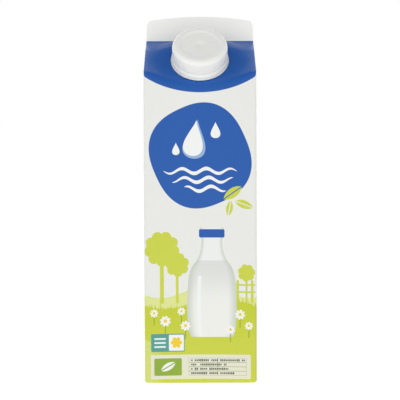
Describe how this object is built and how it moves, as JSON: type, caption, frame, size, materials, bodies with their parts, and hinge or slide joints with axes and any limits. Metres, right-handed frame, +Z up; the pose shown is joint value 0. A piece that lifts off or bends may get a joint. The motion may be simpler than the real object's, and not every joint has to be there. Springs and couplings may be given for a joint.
{
  "type": "milk carton",
  "caption": "Tall square gable-top drink carton with a flat fin, folded-in roof sides and a screw cap on its front slope.",
  "frame": {"origin": "middle of the base, on the surface the carton stands on", "axes": "+Z up the carton to the fin, -Y out of the front with the cap, +X to the right as seen from the front"},
  "size_m": [0.072, 0.0795, 0.2296],
  "materials": {
    "board": "printed, thin satin plastic coating",
    "spout_plastic": "moulded, satin",
    "band_plastic": "moulded, satin",
    "cap_plastic": "moulded, satin"
  },
  "bodies": {
    "root": {"carton": "board", "spout": "spout_plastic", "tamper_band": "band_plastic", "cap": "cap_plastic"}
  },
  "joints": []
}
